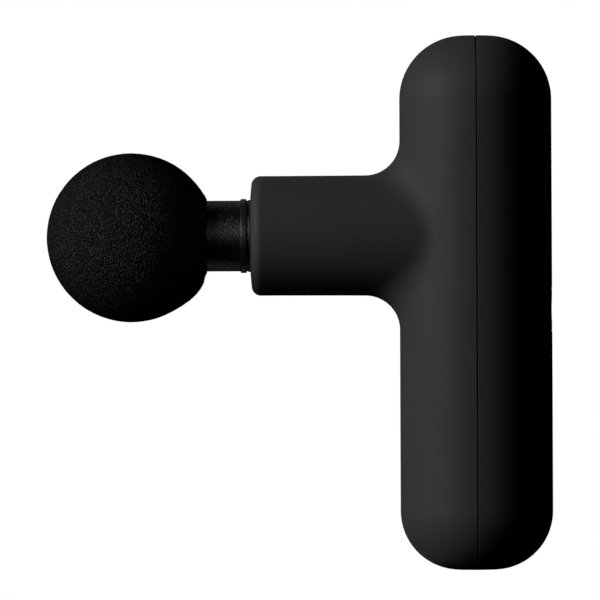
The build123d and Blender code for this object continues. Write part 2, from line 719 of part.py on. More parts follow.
def counterweight():
    """Heavy arc on the crank wheel, opposite the crank pin."""
    low, high = WHEEL_LOW_Z + WHEEL_T, WEIGHT_TOP_Z
    ring = z_tube(WHEEL_R - WEIGHT_EDGE, HUB_R + WEIGHT_EDGE, low, high)
    arc = ring & sector(2 * WHEEL_R, low, high, *WEIGHT_ARC)
    for x, y in counterweight_points():
        arc -= z_cylinder(SCREW_R, low - CUT, high + CUT, x, y)
        arc -= z_cylinder(SCREW_HEAD_R, high - WEIGHT_SEAT, high + CUT, x, y)
    return arc


def counterweight_screws():
    """Two sunk screws that hold the counterweight."""
    seat_z = WEIGHT_TOP_Z - WEIGHT_SEAT
    top_z = seat_z + WEIGHT_HEAD_H
    floor_z = top_z - WEIGHT_SLOT_DEPTH
    half_l, half_w = SLOT_HALF_L, SLOT_HALF_W
    screws = []
    for x, y in counterweight_points():
        screw = z_cylinder(SCREW_R, WEIGHT_SCREW_LOW_Z, seat_z, x, y)
        screw += z_cylinder(SCREW_HEAD_R, seat_z, top_z, x, y)
        screws.append(screw - block(x - half_l, x + half_l, y - half_w, y + half_w, floor_z, top_z + CUT))
    return group(*screws)


# ================================================================ motor
def motor_plate():
    """Plate that carries the motor and its lower bearing on the drive frame."""
    plate = z_cylinder(PLATE_R, CHAMBER_TOP_Z, MOTOR_BASE_Z) & x_slab(-60, CHAMBER_BACK_OUT_X)
    bearing_top_z = LOWER_BEARING_Z + MOTOR_BEARING_T
    plate += z_cylinder(BEARING_HOUSE_R, MOTOR_BASE_Z, bearing_top_z)
    plate -= z_cylinder(MOTOR_BEARING_R, LOWER_BEARING_Z, bearing_top_z + CUT)
    plate -= z_cylinder(SHAFT_HOLE_R, CHAMBER_TOP_Z - CUT, LOWER_BEARING_Z + CUT)
    for angle in PLATE_SCREW_ANGLES:
        x, y = polar(PLATE_SCREW_PCR, angle)
        plate -= z_cylinder(SCREW_R, CHAMBER_TOP_Z - CUT, MOTOR_BASE_Z + CUT, x, y)
    return plate


def motor_screws():
    """Screws from the crank chamber, through the frame's flange, into the motor plate."""
    seat_z = CHAMBER_TOP_Z - FLANGE_T
    screws = []
    for angle in PLATE_SCREW_ANGLES:
        x, y = polar(PLATE_SCREW_PCR, angle)
        screw = z_cylinder(SCREW_R, seat_z, MOTOR_BASE_Z - 0.1, x, y)
        screw += z_cylinder(MOTOR_SCREW_HEAD_R, seat_z - MOTOR_SCREW_HEAD_H, seat_z, x, y)
        screws.append(screw)
    return group(*screws)


def lead_window():
    """Opening in the can's side for the motor leads."""
    half_w = LEAD_WINDOW_HALF_W
    return block(CAN_R - CAN_WALL - CUT, CAN_R + CUT, -half_w, half_w, *LEAD_WINDOW_Z)


def motor_can():
    """Steel can round the stator."""
    can = z_tube(CAN_R, CAN_R - CAN_WALL, MOTOR_BASE_Z, MOTOR_TOP_Z)
    return can - lead_window()


def motor_end_cap():
    """Cap that closes the can and carries the upper bearing."""
    low_z = MOTOR_TOP_Z - END_CAP_T
    cap = z_cylinder(CAN_R - CAN_WALL, low_z, MOTOR_TOP_Z)
    cap += z_cylinder(BEARING_HOUSE_R, UPPER_BEARING_Z, low_z)
    cap -= z_cylinder(MOTOR_BEARING_R, UPPER_BEARING_Z - CUT, UPPER_BEARING_Z + MOTOR_BEARING_T)
    for index in range(VENTS):
        x, y = polar(VENT_PCR, 360.0 / VENTS * index)
        cap -= z_cylinder(VENT_R, low_z - CUT, MOTOR_TOP_Z + CUT, x, y)
    return cap


def motor_bearings():
    """The motor's two ball bearings."""
    rings = []
    for z in (LOWER_BEARING_Z, UPPER_BEARING_Z):
        rings.append(ball_bearing(MOTOR_BEARING_R, SHAFT_R + FIT, z, z + MOTOR_BEARING_T))
    return group(*rings)


def stator_core():
    """Stack of laminations: a yoke with nine teeth."""
    low, high = STATOR_LOW_Z, STATOR_TOP_Z
    core = z_tube(CAN_R - CAN_WALL, YOKE_IN_R, low, high)
    tooth = block(*TOOTH_X, -TOOTH_HALF_W, TOOTH_HALF_W, low, high)
    shoe_slice = sector(YOKE_IN_R, low, high, -SHOE_HALF_ANGLE, SHOE_HALF_ANGLE)
    shoe = z_tube(SHOE_OUT_R, SHOE_IN_R, low, high) & shoe_slice
    for index in range(TEETH):
        turn = Rot(0, 0, 360.0 / TEETH * index)
        core += turn * tooth
        core += turn * shoe
    return core


def stator_windings():
    """One coil round each tooth."""
    low, high = STATOR_LOW_Z - COIL_OVERHANG, STATOR_TOP_Z + COIL_OVERHANG
    coil = block(*COIL_X, -COIL_HALF_W, COIL_HALF_W, low, high)
    coil = fillet(coil.edges().filter_by(Axis.X), COIL_ROUND)
    coil -= block(*TOOTH_X, -TOOTH_HALF_W, TOOTH_HALF_W, STATOR_LOW_Z, STATOR_TOP_Z)
    return group(*[Rot(0, 0, 360.0 / TEETH * index) * coil for index in range(TEETH)])


def motor_shaft():
    """Shaft from the crank wheel's hub to the upper bearing."""
    top_z = UPPER_BEARING_Z + MOTOR_BEARING_T - SHAFT_SET_BACK
    shaft = z_cylinder(SHAFT_R, WHEEL_LOW_Z + WHEEL_T - SHAFT_SINK, top_z)
    return chamfer(shaft.edges().filter_by(GeomType.CIRCLE), PIN_CHAMFER)


def rotor_core():
    """Laminated rotor body on the shaft."""
    return z_tube(ROTOR_CORE_R, SHAFT_R, STATOR_LOW_Z, STATOR_TOP_Z)


def rotor_magnets():
    """Arc magnets round the rotor body."""
    ring = z_tube(MAGNET_R, ROTOR_CORE_R, STATOR_LOW_Z, STATOR_TOP_Z)
    pitch = 360.0 / POLES
    half_arc = (pitch - MAGNET_GAP_ANGLE) / 2
    arc = ring & sector(YOKE_IN_R, STATOR_LOW_Z, STATOR_TOP_Z, -half_arc, half_arc)
    return group(*[Rot(0, 0, pitch * index) * arc for index in range(POLES)])


def lead_points():
    """Routes of the three motor leads, down behind the crank chamber to the connector."""
    routes = []
    drop_x, end_x = LEAD_X
    for y in LEAD_Y:
        routes.append([
            (drop_x, y, LEAD_WINDOW_Z[0]),
            (drop_x, y, LEAD_TURN_Z),
            (end_x, y, LEAD_TURN_Z),
            (end_x, y, LEAD_END_Z),
        ])
    return routes


def motor_leads():
    """Three leads from the motor to the control board."""
    return group(*[wire(route, LEAD_BEND_R) for route in lead_points()])


def lead_grommet():
    """Rubber grommet in the can's lead opening."""
    return block(*GROMMET_X, -GROMMET_HALF_W, GROMMET_HALF_W, *LEAD_WINDOW_Z)


# ================================================================ battery
def battery_cell(side):
    """Cylindrical cell with the crimp below its upper end."""
    cell = z_cylinder(CELL_R, CELL_LOW_Z, CELL_TOP_Z, 0, side * CELL_Y)
    cell = fillet(cell.edges().filter_by(GeomType.CIRCLE), CELL_ROUND)
    low, high = CELL_TOP_Z - CRIMP_DROP - CRIMP_HALF_W, CELL_TOP_Z - CRIMP_DROP + CRIMP_HALF_W
    return cell - z_tube(CELL_R + CUT, CELL_R - CRIMP_DEPTH, low, high, 0, side * CELL_Y)


def cell_pockets(z_from, z_to):
    """Space that both cells take, with a little room round them."""
    return [z_cylinder(CELL_R + CELL_ROOM, z_from, z_to, 0, side * CELL_Y) for side in (-1, 1)]


def cell_holder_lower():
    """Tray under the cells."""
    half_w = HOLDER_HALF_W
    tray = block(HOLDER_FRONT_X, LOWER_HOLDER_BACK_X, -half_w, half_w, *LOWER_HOLDER_Z)
    tray &= handle_solid(WALL + HOLDER_GAP)
    floor_z, top_z = CELL_LOW_Z - STRIP_T, LOWER_HOLDER_Z[1] + CUT
    for pocket in cell_pockets(floor_z, top_z):
        tray -= pocket
    half_w, half_l = BRIDGE_SLOT_HALF_W, BRIDGE_SLOT_HALF_L
    return tray - block(-half_w, half_w, -half_l, half_l, floor_z, top_z)


def cell_holder_upper():
    """Tray over the cells, with a gap at its back for the leads."""
    half_w = HOLDER_HALF_W
    tray = block(HOLDER_FRONT_X, UPPER_HOLDER_BACK_X, -half_w, half_w, *UPPER_HOLDER_Z)
    tray &= handle_solid(WALL + HOLDER_GAP)
    for pocket in cell_pockets(UPPER_HOLDER_Z[0] - CUT, CELL_TOP_Z + STRIP_T):
        tray -= pocket
    return tray


def cell_bridge_strip():
    """Nickel strip that joins the two cells at their lower ends."""
    half_w, half_l = BRIDGE_HALF_W, BRIDGE_HALF_L
    return block(-half_w, half_w, -half_l, half_l, CELL_LOW_Z - STRIP_T, CELL_LOW_Z)


def cell_terminal_strips():
    """Nickel strips on the cells' upper ends, reaching back to the leads."""
    strips = []
    for side in (-1, 1):
        near, far = sorted(side * y for y in TERMINAL_Y)
        strips.append(block(*TERMINAL_X, near, far, CELL_TOP_Z, CELL_TOP_Z + STRIP_T))
    return group(*strips)


def battery_leads():
    """Two leads from the terminal strips to the battery connector."""
    leads = []
    start_z = CELL_TOP_Z + LEAD_R
    for side in (-1, 1):
        leads.append(wire([
            (TERMINAL_X[1], side * 5.2, start_z),
            (11.6, side * 5.2, start_z),
            (11.9, side * 5.0, 68.0),
            (11.9, side * 1.6, 64.5),
            (11.9, side * 1.6, BATTERY_CONNECTOR_Z[1]),
        ], BATTERY_LEAD_BEND_R))
    return group(*leads)


# ================================================================ electronics
def control_board():
    """Long circuit board behind the cells."""
    board = block(BOARD_X, BOARD_BACK_X, -BOARD_HALF_W, BOARD_HALF_W, BOARD_LOW_Z, BOARD_TOP_Z)
    board = fillet(board.edges().filter_by(Axis.X), BOARD_ROUND)
    for y, z in BOARD_SCREWS:
        board -= x_cylinder(BOARD_HOLE_R, BOARD_X - CUT, BOARD_BACK_X + CUT, y, z)
    return board


def board_screws():
    """Screws that hold the board to the rear cover's posts."""
    screws = []
    head_x = BOARD_X - BOARD_HEAD_H
    half_l, half_w = BOARD_SLOT_HALF_L, BOARD_SLOT_HALF_W
    for y, z in BOARD_SCREWS:
        shank = x_cylinder(BOARD_SCREW_R, BOARD_X, BOARD_SHANK_END_X, y, z)
        head = x_cylinder(BOARD_HEAD_R, head_x, BOARD_X, y, z)
        slot = block(head_x - CUT, head_x + BOARD_SLOT_DEPTH, y - half_l, y + half_l, z - half_w, z + half_w)
        screws.append(shank + head - slot)
    return group(*screws)


def chip(width, y, z):
    """Square flat component on the board's inner face, with its corners eased."""
    half = width / 2
    body = block(BOARD_X - CHIP_T, BOARD_X, y - half, y + half, z - half, z + half)
    return chamfer(body.edges().filter_by(Axis.X), CHIP_CHAMFER)


def microcontroller():
    """The board's controller."""
    return chip(CONTROLLER_W, 0, CONTROLLER_Z)


def power_transistors():
    """Six switches that drive the motor's three phases."""
    places = [(y, z) for y in TRANSISTOR_Y for z in TRANSISTOR_Z]
    return group(*[chip(TRANSISTOR_W, y, z) for y, z in places])


def smoothing_capacitors():
    """Two can capacitors lying across the board."""
    lying = Rot(90, 0, 0) * Cylinder(CAPACITOR_R, CAPACITOR_L)
    lying = fillet(lying.edges().filter_by(GeomType.CIRCLE), CAPACITOR_ROUND)
    return group(*[Pos(BOARD_X - CAPACITOR_R, 0, z) * lying for z in CAPACITOR_Z])


def connector(half_width, z_from, z_to):
    """Wire-to-board connector housing on the board's inner face."""
    body = block(BOARD_X - CONNECTOR_T, BOARD_X, -half_width, half_width, z_from, z_to)
    return chamfer(body.edges().filter_by(Axis.Z), CONNECTOR_CHAMFER)


def motor_connector():
    """Connector that takes the motor leads."""
    return connector(MOTOR_CONNECTOR_HALF_W, *MOTOR_CONNECTOR_Z)


def battery_connector():
    """Connector that takes the battery leads."""
    return connector(BATTERY_CONNECTOR_HALF_W, *BATTERY_CONNECTOR_Z)


def indicator_leds():
    """Small lamps on the board's outer face, one behind each window."""
    lamps = []
    for z in LED_Z:
        low, high = z - LED_HALF_H, z + LED_HALF_H
        lamps.append(block(BOARD_BACK_X, BOARD_BACK_X + LED_T, -LED_HALF_W, LED_HALF_W, low, high))
    return group(*lamps)


def light_guide():
    """Clear bar with a pin in each window, flush with the rear cover."""
    low, high = LED_Z[-1] - GUIDE_END, LED_Z[0] + GUIDE_END
    guide = block(*GUIDE_X, -GUIDE_HALF_W, GUIDE_HALF_W, low, high)
    skin = handle_solid()
    for z in LED_Z:
        guide += x_cylinder(WINDOW_R, GUIDE_X[1], HANDLE_R + CUT, 0, z) & skin
    return guide


def switch_body():
    """Square tact switch under the button."""
    half = SWITCH_SIZE / 2
    body = block(BOARD_BACK_X, SWITCH_TOP_X, -half, half, BUTTON_Z - half, BUTTON_Z + half)
    body = chamfer(body.edges().filter_by(Axis.X), SWITCH_CHAMFER)
    floor_x = SWITCH_TOP_X - SWITCH_POCKET_DEPTH
    return body - x_cylinder(PLUNGER_R + PLUNGER_GAP, floor_x, SWITCH_TOP_X + CUT, 0, BUTTON_Z)


def switch_plunger():
    """The tact switch's moving plunger."""
    plunger = x_cylinder(PLUNGER_R, SWITCH_TOP_X - PLUNGER_SINK, PLUNGER_TOP_X, 0, BUTTON_Z)
    top_rim = plunger.edges().filter_by(GeomType.CIRCLE).sort_by(Axis.X)[-1]
    return chamfer(top_rim, PLUNGER_CHAMFER)


def power_button():
    """Round key, flush with the rear cover and dished in the middle."""
    cap = (x_cylinder(BUTTON_R, BUTTON_LOW_X, HANDLE_R + CUT, 0, BUTTON_Z) & handle_solid(FIT)).solids()[0]
    rim = [edge for edge in cap.edges() if edge.center().X > BUTTON_WEB_X]
    cap = fillet(rim, BUTTON_RIM_ROUND)
    dish_x = HANDLE_R - FIT - BUTTON_DISH_DEPTH + BUTTON_DISH_R
    cap -= Pos(dish_x, 0, BUTTON_Z) * Sphere(BUTTON_DISH_R)
    cap += x_cylinder(BUTTON_FLANGE_R, *BUTTON_FLANGE_X, 0, BUTTON_Z)
    cap -= x_cylinder(BUTTON_BORE_R, BUTTON_FLANGE_X[0] - CUT, BUTTON_WEB_X, 0, BUTTON_Z)
    return cap + x_cylinder(BUTTON_POST_R, PLUNGER_TOP_X + FIT, BUTTON_WEB_X, 0, BUTTON_Z)


# ================================================================ charging port
def collar_opening():
    """Opening for the port's collar in the handle's lower end."""
    return z_oval(COLLAR_HALF_W, COLLAR_HALF_T, -CUT, COLLAR_OPENING_TOP_Z)


def port_collar():
    """Oval collar round the charging port, clamped between the two shells."""
    collar = z_oval(COLLAR_HALF_W, COLLAR_HALF_T, 0, WALL) & handle_solid()
    top_z = WALL + COLLAR_FLANGE_T
    half_w, half_t = COLLAR_HALF_W + COLLAR_FLANGE_W, COLLAR_HALF_T + COLLAR_FLANGE_W
    collar += z_oval(half_w, half_t, WALL, top_z) & handle_solid(WALL)
    return collar - z_oval(PORT_HALF_W + FIT, PORT_HALF_T + FIT, -CUT, top_z + CUT)


def usb_socket():
    """Steel shell of the charging socket."""
    shell = z_oval(PORT_HALF_W, PORT_HALF_T, PORT_LOW_Z, PORT_TOP_Z)
    half_w, half_t = PORT_HALF_W - PORT_SHEET, PORT_HALF_T - PORT_SHEET
    return shell - z_oval(half_w, half_t, PORT_LOW_Z - CUT, PORT_TOP_Z - SOCKET_BACK_T)


def usb_tongue():
    """Contact tongue inside the socket."""
    base_top_z = PORT_TOP_Z - SOCKET_BACK_T
    half_w, half_t = TONGUE_HALF_W, TONGUE_HALF_T
    tongue = block(-half_t, half_t, -half_w, half_w, PORT_LOW_Z + TONGUE_SET_BACK, base_top_z)
    base = z_oval(PORT_HALF_W - PORT_SHEET, PORT_HALF_T - PORT_SHEET, base_top_z - TONGUE_BASE_T, base_top_z)
    return tongue + base


def charge_board():
    """Small upright board that the charging socket is soldered to."""
    half_w = CHARGE_BOARD_HALF_W
    return block(-PORT_HALF_T - CHARGE_BOARD_T, -PORT_HALF_T, -half_w, half_w, *CHARGE_BOARD_Z)


def charge_leads():
    """Two leads from the charge board up to the control board."""
    leads = []
    for y in CHARGE_LEAD_Y:
        leads.append(wire([
            (-PORT_HALF_T, y, 9.3),
            (8.6, y, 9.3),
            (13.5, y, 14.0),
            (13.5, y, 25.0),
        ], CHARGE_LEAD_BEND_R))
    return group(*leads)


# ================================================================ head
def head_stem():
    """Stem of the head: spigot in the ball's core, round stem, and plug for the piston's socket."""
    stem = x_cylinder(SPIGOT_R, BALL_X, SPIGOT_END_X)
    stem += x_cylinder(STEM_R, STEM_START_X, PISTON_NOSE_X)
    plug = x_cylinder(PLUG_R, PISTON_NOSE_X, PLUG_END_X)
    end_rim = plug.edges().filter_by(GeomType.CIRCLE).sort_by(Axis.X)[-1]
    stem += chamfer(end_rim, PLUG_CHAMFER)
    for x in ORING_X:
        stem -= x_tube(PLUG_R + CUT, ORING_R - ORING_T, x - ORING_T / 2, x + ORING_T / 2)
    return stem


def stem_ring():
    """Split ring on the stem, behind the part that the hand holds to change heads."""
    ring = x_tube(RING_R, STEM_R, RING_FRONT_X, RING_REAR_X)
    rims = [edge for edge in ring.edges().filter_by(GeomType.CIRCLE) if edge.radius > STEM_R]
    ring = fillet(rims, RING_ROUND)
    low, high = RING_SPLIT_Z - RING_SPLIT_HALF_W, RING_SPLIT_Z + RING_SPLIT_HALF_W
    return ring - block(RING_FRONT_X - CUT, RING_REAR_X + CUT, *RING_SPLIT_Y, low, high)


def stem_orings():
    """O-rings that hold the plug in the socket by friction."""
    rings = []
    for x in ORING_X:
        ring = x_tube(ORING_R, ORING_R - ORING_T, x - ORING_T / 2, x + ORING_T / 2)
        rings.append(fillet(ring.edges().filter_by(GeomType.CIRCLE), ORING_ROUND))
    return group(*rings)


def ball_core():
    """Rigid core inside the foam ball."""
    core = Pos(BALL_X, 0, STROKE_Z) * Sphere(BALL_CORE_R)
    core -= x_cylinder(SPIGOT_R, BALL_X, SPIGOT_END_X)
    return core & x_slab(-140, CORE_FLAT_X)


def massage_ball():
    """Soft foam ball."""
    ball = Pos(BALL_X, 0, STROKE_Z) * Sphere(BALL_R)
    ball -= Pos(BALL_X, 0, STROKE_Z) * Sphere(BALL_CORE_R)
    ball -= x_cylinder(SPIGOT_R, BALL_X, SPIGOT_END_X)
    return ball - x_cylinder(STEM_R, STEM_START_X, BALL_X + BALL_R + CUT)


# ================================================================ writing
def all_pieces():
    """Every piece by its node's name."""
    outer = housing_outer()
    cavity = housing_cavity()
    bearing_low = STROKE_Z - BIG_BEARING_T / 2
    bearing_top = STROKE_Z + BIG_BEARING_T / 2
    return {
        "front_shell": front_shell(outer, cavity),
        "rear_cover": rear_cover(outer, cavity),
        "housing_screws": housing_screws(),
        "screw_plugs": screw_plugs(),
        "neck_seal": neck_seal(),
        "guide_bush": guide_bush(),
        "drive_frame": drive_frame(),
        "crankcase_lid": crankcase_lid(),
        "neck_dampers": neck_dampers(),
        "chamber_dampers": chamber_dampers(),
        "piston": piston(),
        "wrist_pin": wrist_pin(),
        "connecting_rod": connecting_rod(),
        "small_end_bush": small_end_bush(),
        "big_end_bearing": ball_bearing(BEARING_OUT_R, CRANK_PIN_R, bearing_low, bearing_top, CRANK_R),
        "crank_pin": crank_pin(),
        "crank_wheel": crank_wheel(),
        "counterweight": counterweight(),
        "counterweight_screws": counterweight_screws(),
        "motor_plate": motor_plate(),
        "motor_screws": motor_screws(),
        "motor_can": motor_can(),
        "motor_end_cap": motor_end_cap(),
        "motor_bearings": motor_bearings(),
        "stator_core": stator_core(),
        "stator_windings": stator_windings(),
        "motor_shaft": motor_shaft(),
        "rotor_core": rotor_core(),
        "rotor_magnets": rotor_magnets(),
        "lead_grommet": lead_grommet(),
        "motor_leads": motor_leads(),
        "battery_cell_left": battery_cell(-1),
        "battery_cell_right": battery_cell(1),
        "cell_holder_lower": cell_holder_lower(),
        "cell_holder_upper": cell_holder_upper(),
        "cell_bridge_strip": cell_bridge_strip(),
        "cell_terminal_strips": cell_terminal_strips(),
        "battery_leads": battery_leads(),
        "control_board": control_board(),
        "board_screws": board_screws(),
        "microcontroller": microcontroller(),
        "power_transistors": power_transistors(),
        "smoothing_capacitors": smoothing_capacitors(),
        "motor_connector": motor_connector(),
        "battery_connector": battery_connector(),
        "indicator_leds": indicator_leds(),
        "light_guide": light_guide(),
        "switch_body": switch_body(),
        "switch_plunger": switch_plunger(),
        "power_button": power_button(),
        "port_collar": port_collar(),
        "usb_socket": usb_socket(),
        "usb_tongue": usb_tongue(),
        "charge_board": charge_board(),
        "charge_leads": charge_leads(),
        "head_stem": head_stem(),
        "stem_ring": stem_ring(),
        "stem_orings": stem_orings(),
        "ball_core": ball_core(),
        "massage_ball": massage_ball(),
    }


os.makedirs("parts", exist_ok=True)
for name, piece in all_pieces().items():
    export_step(piece, f"parts/{name}.step")
    print(name, len(piece.solids()), round(piece.volume, 1))
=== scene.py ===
import json
from math import asin, cos, exp, pi, radians, sin

import bpy
import numpy as np
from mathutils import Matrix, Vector, noise

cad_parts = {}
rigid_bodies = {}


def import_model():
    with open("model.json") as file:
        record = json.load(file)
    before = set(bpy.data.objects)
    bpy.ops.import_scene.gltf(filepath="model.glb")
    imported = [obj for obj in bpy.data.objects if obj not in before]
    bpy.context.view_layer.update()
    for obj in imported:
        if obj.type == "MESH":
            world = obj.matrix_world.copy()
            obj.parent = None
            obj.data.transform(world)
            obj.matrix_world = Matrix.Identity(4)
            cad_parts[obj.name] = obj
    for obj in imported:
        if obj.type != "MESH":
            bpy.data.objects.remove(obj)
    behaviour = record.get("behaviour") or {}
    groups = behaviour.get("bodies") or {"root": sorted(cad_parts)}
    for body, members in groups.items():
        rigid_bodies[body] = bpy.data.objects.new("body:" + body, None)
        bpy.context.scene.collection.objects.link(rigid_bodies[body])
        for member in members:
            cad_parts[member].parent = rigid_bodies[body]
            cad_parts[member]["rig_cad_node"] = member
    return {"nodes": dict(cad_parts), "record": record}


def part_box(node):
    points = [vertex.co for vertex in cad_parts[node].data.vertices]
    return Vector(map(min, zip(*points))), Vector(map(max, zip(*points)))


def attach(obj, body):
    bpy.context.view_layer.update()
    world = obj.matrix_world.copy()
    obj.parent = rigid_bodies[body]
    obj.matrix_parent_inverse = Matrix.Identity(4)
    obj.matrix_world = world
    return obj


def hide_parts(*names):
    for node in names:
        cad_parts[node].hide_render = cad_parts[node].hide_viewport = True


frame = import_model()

# Massage gun: finishes for every piece, a modelled foam ball, and the studio round it.
# Metres, in the model's own frame: +Z up the handle, the head points along -X.

MM = 0.001
NODES = frame["nodes"]
SLOT_OF = {part["node"]: part["material_slot"] for part in frame["record"]["subparts"]}


def clear_defaults():
    """Removes whatever the startup file brought along."""
    for obj in list(bpy.data.objects):
        if "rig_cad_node" not in obj and not obj.name.startswith("body:"):
            bpy.data.objects.remove(obj)


clear_defaults()
bpy.context.view_layer.update()


# ================================================================ materials
NOISE_LOW, NOISE_HIGH = 0.3, 0.7      # nearly all of a noise lies between these
EDGE_SHARP, EDGE_FLAT = 0.75, 0.98    # how far a normal agrees with its rounded self
BEVEL_SAMPLES = 4
WAVE_PERIOD = pi / 10                 # length of one wave of a wave texture at scale 1


class Finish:
    """A Principled material, with short calls for the nodes that give it its detail."""

    def __init__(self, name, **constants):
        self.material = bpy.data.materials.new(name)
        self.material.use_nodes = True
        self.nodes = self.material.node_tree.nodes
        self.links = self.material.node_tree.links
        self.shader = self.nodes["Principled BSDF"]
        self.place = self.nodes.new("ShaderNodeTexCoord").outputs["Object"]
        for socket, value in constants.items():
            self.feed(self.shader.inputs[socket.replace("_", " ")], value)

    def feed(self, socket, value):
        """Links value into the socket, or sets it if it is a plain number or colour."""
        if isinstance(value, bpy.types.NodeSocket):
            self.links.new(value, socket)
        else:
            socket.default_value = value

    def add(self, kind, inputs):
        """New node with these inputs."""
        node = self.nodes.new(kind)
        for socket, value in inputs.items():
            self.feed(node.inputs[socket], value)
        return node

    def stretched(self, stretch):
        """Place on the object, with what is drawn there made longer along X, Y and Z."""
        if stretch is None:
            return self.place
        scale = [1.0 / s for s in stretch]
        return self.add("ShaderNodeMapping", {"Vector": self.place, "Scale": scale}).outputs["Vector"]

    def grain(self, size, detail=2.0, stretch=None):
        """Noise whose lumps are about size across."""
        inputs = {"Vector": self.stretched(stretch), "Scale": 1.0 / size, "Detail": detail}
        return self.add("ShaderNodeTexNoise", inputs).outputs["Fac"]

    def cells(self, size):
        """Distance from the middle of random cells about size across."""
        inputs = {"Vector": self.place, "Scale": 1.0 / size}
        return self.add("ShaderNodeTexVoronoi", inputs).outputs["Distance"]

    def bands(self, pitch, direction, wander):
        """Ridges at this pitch, across one axis."""
        inputs = {"Vector": self.place, "Scale": WAVE_PERIOD / pitch, "Distortion": wander}
        node = self.add("ShaderNodeTexWave", inputs)
        node.bands_direction = direction
        return node.outputs["Fac"]

    def span(self, value, low, high, start=NOISE_LOW, end=NOISE_HIGH):
        """Takes value's range from start to end onto the range from low to high."""
        inputs = {"Value": value, "From Min": start, "From Max": end, "To Min": low, "To Max": high}
        return self.add("ShaderNodeMapRange", inputs).outputs["Result"]

    def times(self, first, second):
        """Product of two values."""
        node = self.nodes.new("ShaderNodeMath")
        node.operation = "MULTIPLY"
        self.feed(node.inputs[0], first)
        self.feed(node.inputs[1], second)
        return node.outputs[0]

    def blend(self, factor, first, second):
        """Mix of two colours."""
        node = self.nodes.new("ShaderNodeMix")
        node.data_type = "RGBA"
        sockets = {s.identifier: s for s in node.inputs}
        self.feed(sockets["Factor_Float"], factor)
        self.feed(sockets["A_Color"], first)
        self.feed(sockets["B_Color"], second)
        return next(s for s in node.outputs if s.identifier == "Result_Color")

    def softened(self, radius):
        """Normal that rolls over sharp edges as if they were rounded."""
        node = self.add("ShaderNodeBevel", {"Radius": radius})
        node.samples = BEVEL_SAMPLES
        return node.outputs["Normal"]

    def edges(self, width):
        """1 on an edge that stands out or lies in, 0 on open surface."""
        flat = self.nodes.new("ShaderNodeNewGeometry").outputs["Normal"]
        node = self.nodes.new("ShaderNodeVectorMath")
        node.operation = "DOT_PRODUCT"
        self.feed(node.inputs[0], self.softened(width))
        self.feed(node.inputs[1], flat)
        return self.span(node.outputs["Value"], 1.0, 0.0, EDGE_SHARP, EDGE_FLAT)

    def rubbed(self, roughness, width, polish):
        """Roughness that is multiplied by polish along edges."""
        return self.times(roughness, self.span(self.edges(width), 1.0, polish, 0.0, 1.0))

    def relief(self, *layers, rounding=None):
        """Bump made of layers of (height, depth), coarse to fine."""
        normal = self.softened(rounding) if rounding else None
        for height, depth in layers:
            inputs = {"Height": height, "Distance": depth}
            if normal is not None:
                inputs["Normal"] = normal
            normal = self.add("ShaderNodeBump", inputs).outputs["Normal"]
        self.feed(self.shader.inputs["Normal"], normal)

    def colour(self, value):
        """Sets or links the base colour."""
        self.feed(self.shader.inputs["Base Color"], value)

    def mottle(self, noise_value, rgb, dark, light):
        """Colours the surface between a dark and a light shade of rgb, following a noise."""
        self.colour(self.blend(self.span(noise_value, 0.0, 1.0), shade(rgb, dark), shade(rgb, light)))

    def roughness(self, value):
        """Sets or links the roughness."""
        self.feed(self.shader.inputs["Roughness"], value)


def shade(rgb, factor=1.0):
    """RGBA of a colour made lighter or darker."""
    return (*(min(1.0, channel * factor) for channel in rgb), 1.0)


def soft_touch(name, rgb):
    """Matt coated plastic: a fine powdery surface, faintly polished along its edges."""
    f = Finish(name, Specular_IOR_Level=0.10, Sheen_Weight=0.02)
    cloud = f.grain(14 * MM, 3.0)
    fine = f.grain(0.35 * MM, 3.0)
    f.mottle(cloud, rgb, 0.95, 1.06)
    f.roughness(f.rubbed(f.span(fine, 0.58, 0.68), width=0.5 * MM, polish=0.85))
    f.relief((f.grain(2.2 * MM, 2.0), 0.006 * MM), (fine, 0.012 * MM))
    return f.material


def foam(name, rgb):
    """Closed-cell foam skin: crowded fine pits, coloured with painted shade in the pits and a painted
    highlight on the lighter tops.
    """
    f = Finish(name, Specular_IOR_Level=0.055)
    fine = f.grain(0.38 * MM, 0.0)
    # Colour follows the same noise as the bump height: painted shade in the pits, painted highlight on
    # the tops.
    f.colour(f.blend(f.span(fine, 0.0, 1.0, 0.46, 0.62), shade(rgb, 0.10), shade(rgb, 1.5)))
    f.roughness(f.span(f.grain(3.0 * MM, 3.0), 0.30, 0.36))
    f.relief((f.cells(0.55 * MM), 0.06 * MM), (fine, 0.60 * MM))
    return f.material


def moulded(name, rgb, roughness=0.4, texture=0.02 * MM, gloss=0.5, depth=1.0):
    """Moulded plastic with a fine spark-eroded texture. Depth below 1 dyes it darker."""
    f = Finish(name, Specular_IOR_Level=gloss)
    fine = f.grain(0.45 * MM, 4.0)
    cloud = f.grain(6 * MM, 3.0)
    f.mottle(cloud, rgb, 0.92 * depth, 1.10 * depth)
    matt = f.span(fine, roughness * 0.9, roughness * 1.15)
    f.roughness(f.rubbed(matt, width=0.3 * MM, polish=0.8))
    f.relief((fine, texture), rounding=0.2 * MM)
    return f.material


def rubber(name, rgb):
    """Matt rubber with a dusty bloom."""
    f = Finish(name, Specular_IOR_Level=0.3)
    bloom = f.grain(2.5 * MM, 4.0)
    f.mottle(bloom, rgb, 0.8, 1.5)
    f.roughness(f.span(bloom, 0.65, 0.85))
    f.relief((f.grain(0.3 * MM, 3.0), 0.015 * MM))
    return f.material


def lead(name, rgb):
    """Insulated wire: slightly waxy, with print-through of its strands."""
    f = Finish(name, Specular_IOR_Level=0.5)
    f.mottle(f.grain(4 * MM), rgb, 0.85, 1.12)
    f.roughness(f.span(f.grain(1.0 * MM), 0.35, 0.5))
    f.relief((f.grain(0.4 * MM, 2.0, (1, 1, 6)), 0.01 * MM))
    return f.material


